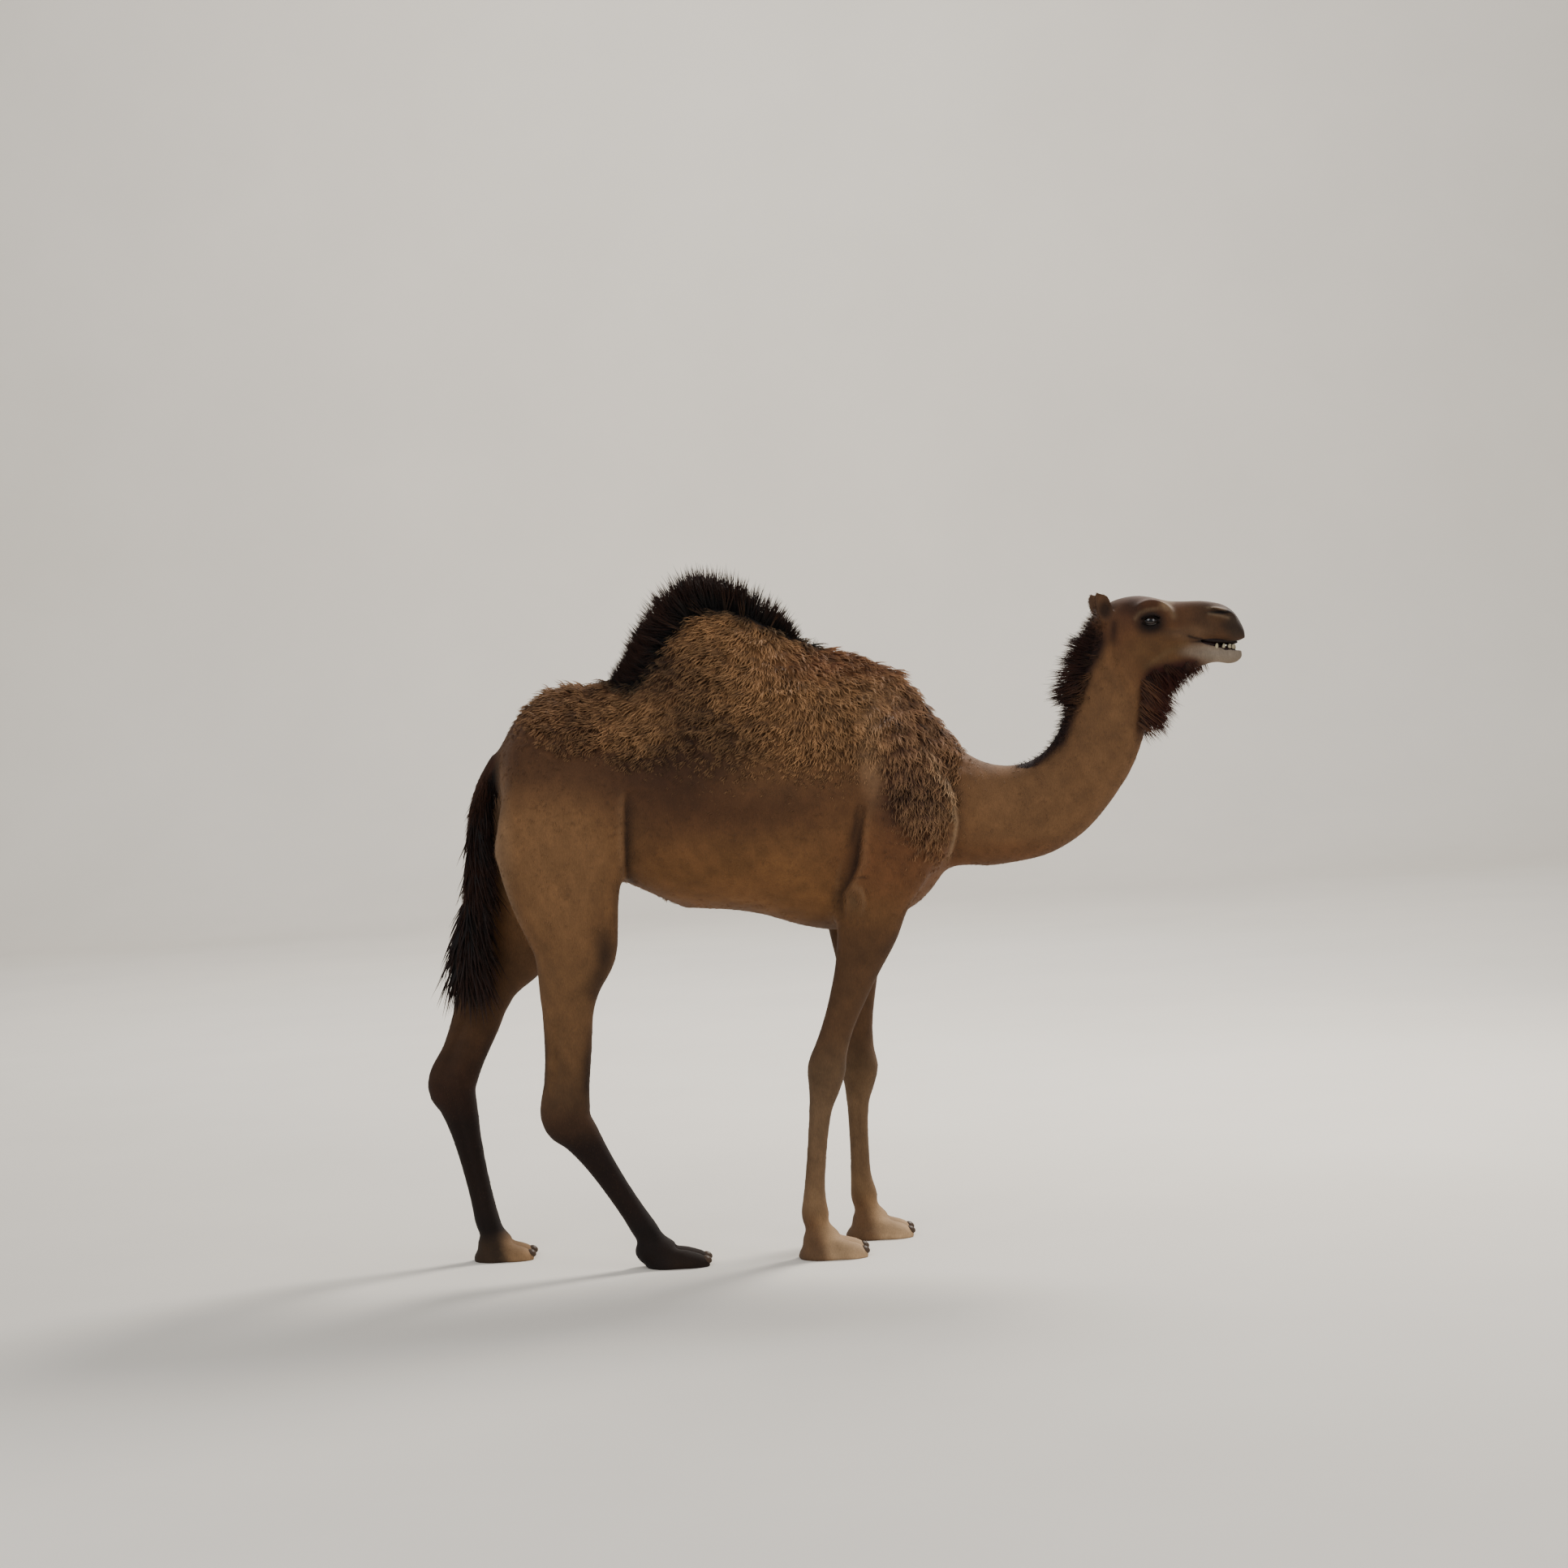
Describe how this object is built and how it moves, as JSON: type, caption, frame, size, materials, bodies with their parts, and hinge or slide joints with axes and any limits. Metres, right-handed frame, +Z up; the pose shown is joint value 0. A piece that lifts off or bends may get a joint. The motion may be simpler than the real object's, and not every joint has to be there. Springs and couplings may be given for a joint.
{
  "type": "dromedary camel, life-size still model",
  "caption": "Standing brown one-humped camel with a dark hump crest, raised neck, slightly open mouth, dark tail and a walking stance on flat padded feet.",
  "frame": {"origin": "centre of the bounding box on the floor, between the feet", "axes": "+X towards the nose, +Y towards the left side of the animal, +Z up"},
  "size_m": [2.4612, 0.5044, 1.9704],
  "materials": {
    "coat": "matt short hair",
    "hump_wool": "matt wool",
    "dark_hair": "matt long hair",
    "dark_leg": "matt short hair",
    "pale_foot": "matt short hair",
    "chin": "matt skin",
    "eye": "wet gloss",
    "horn": "satin horn"
  },
  "bodies": {
    "root": {"trunk": "coat", "hump": "hump_wool", "neck": "coat", "head": "coat", "lower_jaw": "chin", "tail": "dark_hair", "tail_tuft": "dark_hair", "forearm_right": "coat", "fore_cannon_right": "coat", "fore_foot_right": "pale_foot", "thigh_right": "coat", "gaskin_right": "coat", "hind_cannon_right": "dark_leg", "hind_foot_right": "dark_leg", "ear_right": "dark_hair", "eye_right": "eye", "fore_nail_right_inner": "horn", "fore_nail_right_outer": "horn", "hind_nail_right_inner": "horn", "hind_nail_right_outer": "horn", "forearm_left": "coat", "fore_cannon_left": "coat", "fore_foot_left": "pale_foot", "thigh_left": "coat", "gaskin_left": "coat", "hind_cannon_left": "dark_leg", "hind_foot_left": "pale_foot", "ear_left": "dark_hair", "eye_left": "eye", "fore_nail_left_inner": "horn", "fore_nail_left_outer": "horn", "hind_nail_left_inner": "horn", "hind_nail_left_outer": "horn"}
  },
  "joints": []
}
